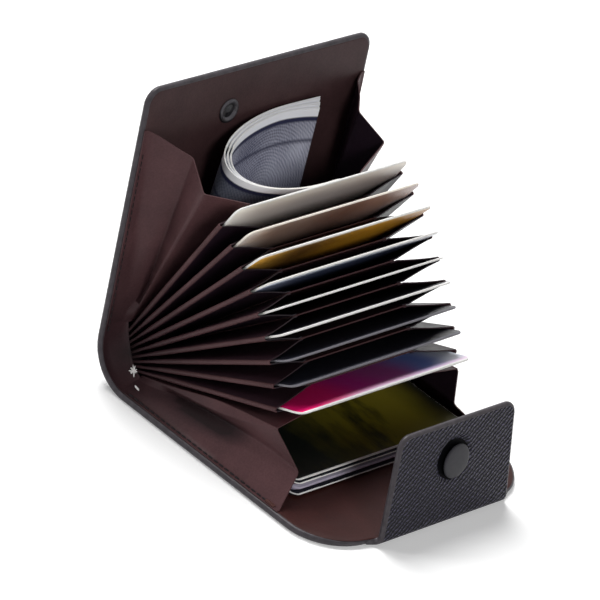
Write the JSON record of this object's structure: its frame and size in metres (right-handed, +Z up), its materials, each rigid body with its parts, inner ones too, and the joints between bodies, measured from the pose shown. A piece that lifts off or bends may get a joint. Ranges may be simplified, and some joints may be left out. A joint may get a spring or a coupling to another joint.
{
  "type": "card and coin wallet",
  "caption": "Accordion leather card wallet open like a book: pleated fan of card pockets between two covers joined by a soft spine, with a snap flap, cards and folded notes.",
  "frame": {"origin": "centre of the bounding box in plan, on the surface the front cover lies on", "axes": "+X from the spine to the snap flap, +Y along the spine, +Z up from the front cover"},
  "size_m": [0.1314, 0.1106, 0.1084],
  "materials": {
    "black_leather": "fine diagonal cross grain, satin",
    "brown_leather": "smooth, satin",
    "dark_metal": "smooth dark lacquer",
    "note_paper": "matt printed paper",
    "card_1": "laminated card",
    "card_2": "laminated card",
    "card_3": "laminated card",
    "card_4": "laminated card",
    "card_5": "laminated card",
    "card_6": "laminated card",
    "card_7": "laminated card",
    "card_8": "laminated card",
    "card_9": "laminated card",
    "stack_card_1": "laminated card",
    "stack_card_2": "laminated card",
    "stack_card_3": "laminated card",
    "stack_card_4": "laminated card",
    "stack_card_5": "laminated card",
    "stack_card_6": "laminated card",
    "stack_card_7": "laminated card"
  },
  "bodies": {
    "front_cover": {"front_leather": "black_leather", "front_lining": "brown_leather", "spine_leather": "black_leather", "spine_lining": "brown_leather", "flap_bend_leather": "black_leather", "flap_bend_lining": "brown_leather", "bellows_base": "brown_leather", "front_gusset_left": "brown_leather", "front_gusset_right": "brown_leather"},
    "back_cover": {"back_leather": "black_leather", "back_lining": "brown_leather", "snap_stud": "dark_metal", "lining_eyelet": "dark_metal"},
    "flap": {"flap_leather": "black_leather", "flap_lining": "brown_leather", "snap_cap": "dark_metal", "snap_socket": "dark_metal"},
    "leaf_01": {"divider_01": "brown_leather", "back_gusset_left": "brown_leather", "back_gusset_right": "brown_leather"},
    "leaf_02": {"divider_02": "brown_leather"},
    "leaf_03": {"divider_03": "brown_leather"},
    "leaf_04": {"divider_04": "brown_leather"},
    "leaf_05": {"divider_05": "brown_leather"},
    "leaf_06": {"divider_06": "brown_leather"},
    "leaf_07": {"divider_07": "brown_leather"},
    "leaf_08": {"divider_08": "brown_leather"},
    "leaf_09": {"divider_09": "brown_leather"},
    "leaf_10": {"divider_10": "brown_leather"},
    "fold_1": {"pocket_1": "brown_leather"},
    "fold_2": {"pocket_2": "brown_leather"},
    "fold_3": {"pocket_3": "brown_leather"},
    "fold_4": {"pocket_4": "brown_leather"},
    "fold_5": {"pocket_5": "brown_leather"},
    "fold_6": {"pocket_6": "brown_leather"},
    "fold_7": {"pocket_7": "brown_leather"},
    "fold_8": {"pocket_8": "brown_leather"},
    "fold_9": {"pocket_9": "brown_leather"},
    "slot_card_1": {"card_1": "card_1"},
    "slot_card_2": {"card_2": "card_2"},
    "slot_card_3": {"card_3": "card_3"},
    "slot_card_4": {"card_4": "card_4"},
    "slot_card_5": {"card_5": "card_5"},
    "slot_card_6": {"card_6": "card_6"},
    "slot_card_7": {"card_7": "card_7"},
    "slot_card_8": {"card_8": "card_8"},
    "slot_card_9": {"card_9": "card_9"},
    "card_stack": {"stack_card_1": "stack_card_1", "stack_card_2": "stack_card_2", "stack_card_3": "stack_card_3", "stack_card_4": "stack_card_4", "stack_card_5": "stack_card_5", "stack_card_6": "stack_card_6", "stack_card_7": "stack_card_7"},
    "note_bundle": {"note_1": "note_paper", "note_2": "note_paper", "note_3": "note_paper"}
  },
  "joints": [
    {"name": "cover_fold", "type": "hinge", "parent": "front_cover", "child": "back_cover", "pos_m": [-0.04099, 0, 0.01064], "axis": [0, -1, 0], "range_deg": [-81.3, 0], "deforming": ["spine_leather", "spine_lining", "bellows_base", "front_gusset_left", "front_gusset_right", "back_gusset_left", "back_gusset_right", "pocket_1", "pocket_2", "pocket_3", "pocket_4", "pocket_5", "pocket_6", "pocket_7", "pocket_8", "pocket_9", "note_1", "note_2", "note_3"]},
    {"name": "leaf_01_fold", "type": "hinge", "parent": "front_cover", "child": "leaf_01", "pos_m": [-0.04182, 0, 0.00895], "axis": [0, -1, 0], "range_deg": [-57.61, 0]},
    {"name": "leaf_02_fold", "type": "hinge", "parent": "front_cover", "child": "leaf_02", "pos_m": [-0.04095, 0, 0.00751], "axis": [0, -1, 0], "range_deg": [-52.53, 0]},
    {"name": "leaf_03_fold", "type": "hinge", "parent": "front_cover", "child": "leaf_03", "pos_m": [-0.04004, 0, 0.00613], "axis": [0, -1, 0], "range_deg": [-47.45, 0]},
    {"name": "leaf_04_fold", "type": "hinge", "parent": "front_cover", "child": "leaf_04", "pos_m": [-0.03909, 0, 0.00481], "axis": [0, -1, 0], "range_deg": [-42.37, 0]},
    {"name": "leaf_05_fold", "type": "hinge", "parent": "front_cover", "child": "leaf_05", "pos_m": [-0.03807, 0, 0.00359], "axis": [0, -1, 0], "range_deg": [-37.29, 0]},
    {"name": "leaf_06_fold", "type": "hinge", "parent": "front_cover", "child": "leaf_06", "pos_m": [-0.03696, 0, 0.00248], "axis": [0, -1, 0], "range_deg": [-32.21, 0]},
    {"name": "leaf_07_fold", "type": "hinge", "parent": "front_cover", "child": "leaf_07", "pos_m": [-0.03569, 0, 0.00154], "axis": [0, -1, 0], "range_deg": [-27.13, 0]},
    {"name": "leaf_08_fold", "type": "hinge", "parent": "front_cover", "child": "leaf_08", "pos_m": [-0.03417, 0, 0.00088], "axis": [0, -1, 0], "range_deg": [-22.05, 0]},
    {"name": "leaf_09_fold", "type": "hinge", "parent": "front_cover", "child": "leaf_09", "pos_m": [-0.03216, 0, 0.00073], "axis": [0, -1, 0], "range_deg": [-16.97, 0]},
    {"name": "leaf_10_fold", "type": "hinge", "parent": "front_cover", "child": "leaf_10", "pos_m": [-0.02904, 0, 0.00174], "axis": [0, -1, 0], "range_deg": [-11.89, 0]},
    {"name": "fold_1_turn", "type": "hinge", "parent": "front_cover", "child": "fold_1", "pos_m": [-0.04138, 0, 0.00822], "axis": [0, -1, 0], "range_deg": [-55.07, 0]},
    {"name": "fold_2_turn", "type": "hinge", "parent": "front_cover", "child": "fold_2", "pos_m": [-0.0405, 0, 0.00681], "axis": [0, -1, 0], "range_deg": [-49.99, 0]},
    {"name": "fold_3_turn", "type": "hinge", "parent": "front_cover", "child": "fold_3", "pos_m": [-0.03957, 0, 0.00546], "axis": [0, -1, 0], "range_deg": [-44.91, 0]},
    {"name": "fold_4_turn", "type": "hinge", "parent": "front_cover", "child": "fold_4", "pos_m": [-0.03859, 0, 0.00419], "axis": [0, -1, 0], "range_deg": [-39.83, 0]},
    {"name": "fold_5_turn", "type": "hinge", "parent": "front_cover", "child": "fold_5", "pos_m": [-0.03753, 0, 0.00301], "axis": [0, -1, 0], "range_deg": [-34.75, 0]},
    {"name": "fold_6_turn", "type": "hinge", "parent": "front_cover", "child": "fold_6", "pos_m": [-0.03635, 0, 0.00198], "axis": [0, -1, 0], "range_deg": [-29.67, 0]},
    {"name": "fold_7_turn", "type": "hinge", "parent": "front_cover", "child": "fold_7", "pos_m": [-0.03498, 0, 0.00116], "axis": [0, -1, 0], "range_deg": [-24.59, 0]},
    {"name": "fold_8_turn", "type": "hinge", "parent": "front_cover", "child": "fold_8", "pos_m": [-0.03325, 0, 0.00072], "axis": [0, -1, 0], "range_deg": [-19.51, 0]},
    {"name": "fold_9_turn", "type": "hinge", "parent": "front_cover", "child": "fold_9", "pos_m": [-0.03082, 0, 0.00102], "axis": [0, -1, 0], "range_deg": [-14.43, 0]},
    {"name": "flap_fold", "type": "hinge", "parent": "front_cover", "child": "flap", "pos_m": [0.06274, 0, 0.003], "axis": [0, -1, 0], "range_deg": [-91, 42], "deforming": ["flap_bend_leather", "flap_bend_lining"]},
    {"name": "card_1_slide", "type": "slide", "parent": "fold_1", "child": "slot_card_1", "axis": [0.3885, 0, 0.9215], "range_m": [0, 0.056]},
    {"name": "card_2_slide", "type": "slide", "parent": "fold_2", "child": "slot_card_2", "axis": [0.4805, 0, 0.877], "range_m": [0, 0.056]},
    {"name": "card_3_slide", "type": "slide", "parent": "fold_3", "child": "slot_card_3", "axis": [0.5676, 0, 0.8233], "range_m": [0, 0.056]},
    {"name": "card_4_slide", "type": "slide", "parent": "fold_4", "child": "slot_card_4", "axis": [0.6487, 0, 0.7611], "range_m": [0, 0.056]},
    {"name": "card_5_slide", "type": "slide", "parent": "fold_5", "child": "slot_card_5", "axis": [0.723, 0, 0.6909], "range_m": [0, 0.056]},
    {"name": "card_6_slide", "type": "slide", "parent": "fold_6", "child": "slot_card_6", "axis": [0.7897, 0, 0.6135], "range_m": [0, 0.056]},
    {"name": "card_7_slide", "type": "slide", "parent": "fold_7", "child": "slot_card_7", "axis": [0.8482, 0, 0.5296], "range_m": [0, 0.056]},
    {"name": "card_8_slide", "type": "slide", "parent": "fold_8", "child": "slot_card_8", "axis": [0.8979, 0, 0.4403], "range_m": [0, 0.056]},
    {"name": "card_9_slide", "type": "slide", "parent": "fold_9", "child": "slot_card_9", "axis": [0.9381, 0, 0.3463], "range_m": [0, 0.056]},
    {"name": "stack_slide", "type": "slide", "parent": "front_cover", "child": "card_stack", "axis": [1, 0, 0], "range_m": [0, 0.012]},
    {"name": "notes_slide", "type": "slide", "parent": "leaf_01", "child": "note_bundle", "axis": [0.123, 0, 0.9924], "range_m": [0, 0.05]}
  ],
  "couplings": [
    {"joint": "leaf_01_fold", "follows": "cover_fold", "ratio": 0.708},
    {"joint": "leaf_02_fold", "follows": "cover_fold", "ratio": 0.64551},
    {"joint": "leaf_03_fold", "follows": "cover_fold", "ratio": 0.58303},
    {"joint": "leaf_04_fold", "follows": "cover_fold", "ratio": 0.52054},
    {"joint": "leaf_05_fold", "follows": "cover_fold", "ratio": 0.45806},
    {"joint": "leaf_06_fold", "follows": "cover_fold", "ratio": 0.39557},
    {"joint": "leaf_07_fold", "follows": "cover_fold", "ratio": 0.33309},
    {"joint": "leaf_08_fold", "follows": "cover_fold", "ratio": 0.2706},
    {"joint": "leaf_09_fold", "follows": "cover_fold", "ratio": 0.20812},
    {"joint": "leaf_10_fold", "follows": "cover_fold", "ratio": 0.14563},
    {"joint": "fold_1_turn", "follows": "cover_fold", "ratio": 0.67675},
    {"joint": "fold_2_turn", "follows": "cover_fold", "ratio": 0.61427},
    {"joint": "fold_3_turn", "follows": "cover_fold", "ratio": 0.55178},
    {"joint": "fold_4_turn", "follows": "cover_fold", "ratio": 0.4893},
    {"joint": "fold_5_turn", "follows": "cover_fold", "ratio": 0.42681},
    {"joint": "fold_6_turn", "follows": "cover_fold", "ratio": 0.36433},
    {"joint": "fold_7_turn", "follows": "cover_fold", "ratio": 0.30185},
    {"joint": "fold_8_turn", "follows": "cover_fold", "ratio": 0.23936},
    {"joint": "fold_9_turn", "follows": "cover_fold", "ratio": 0.17688}
  ]
}
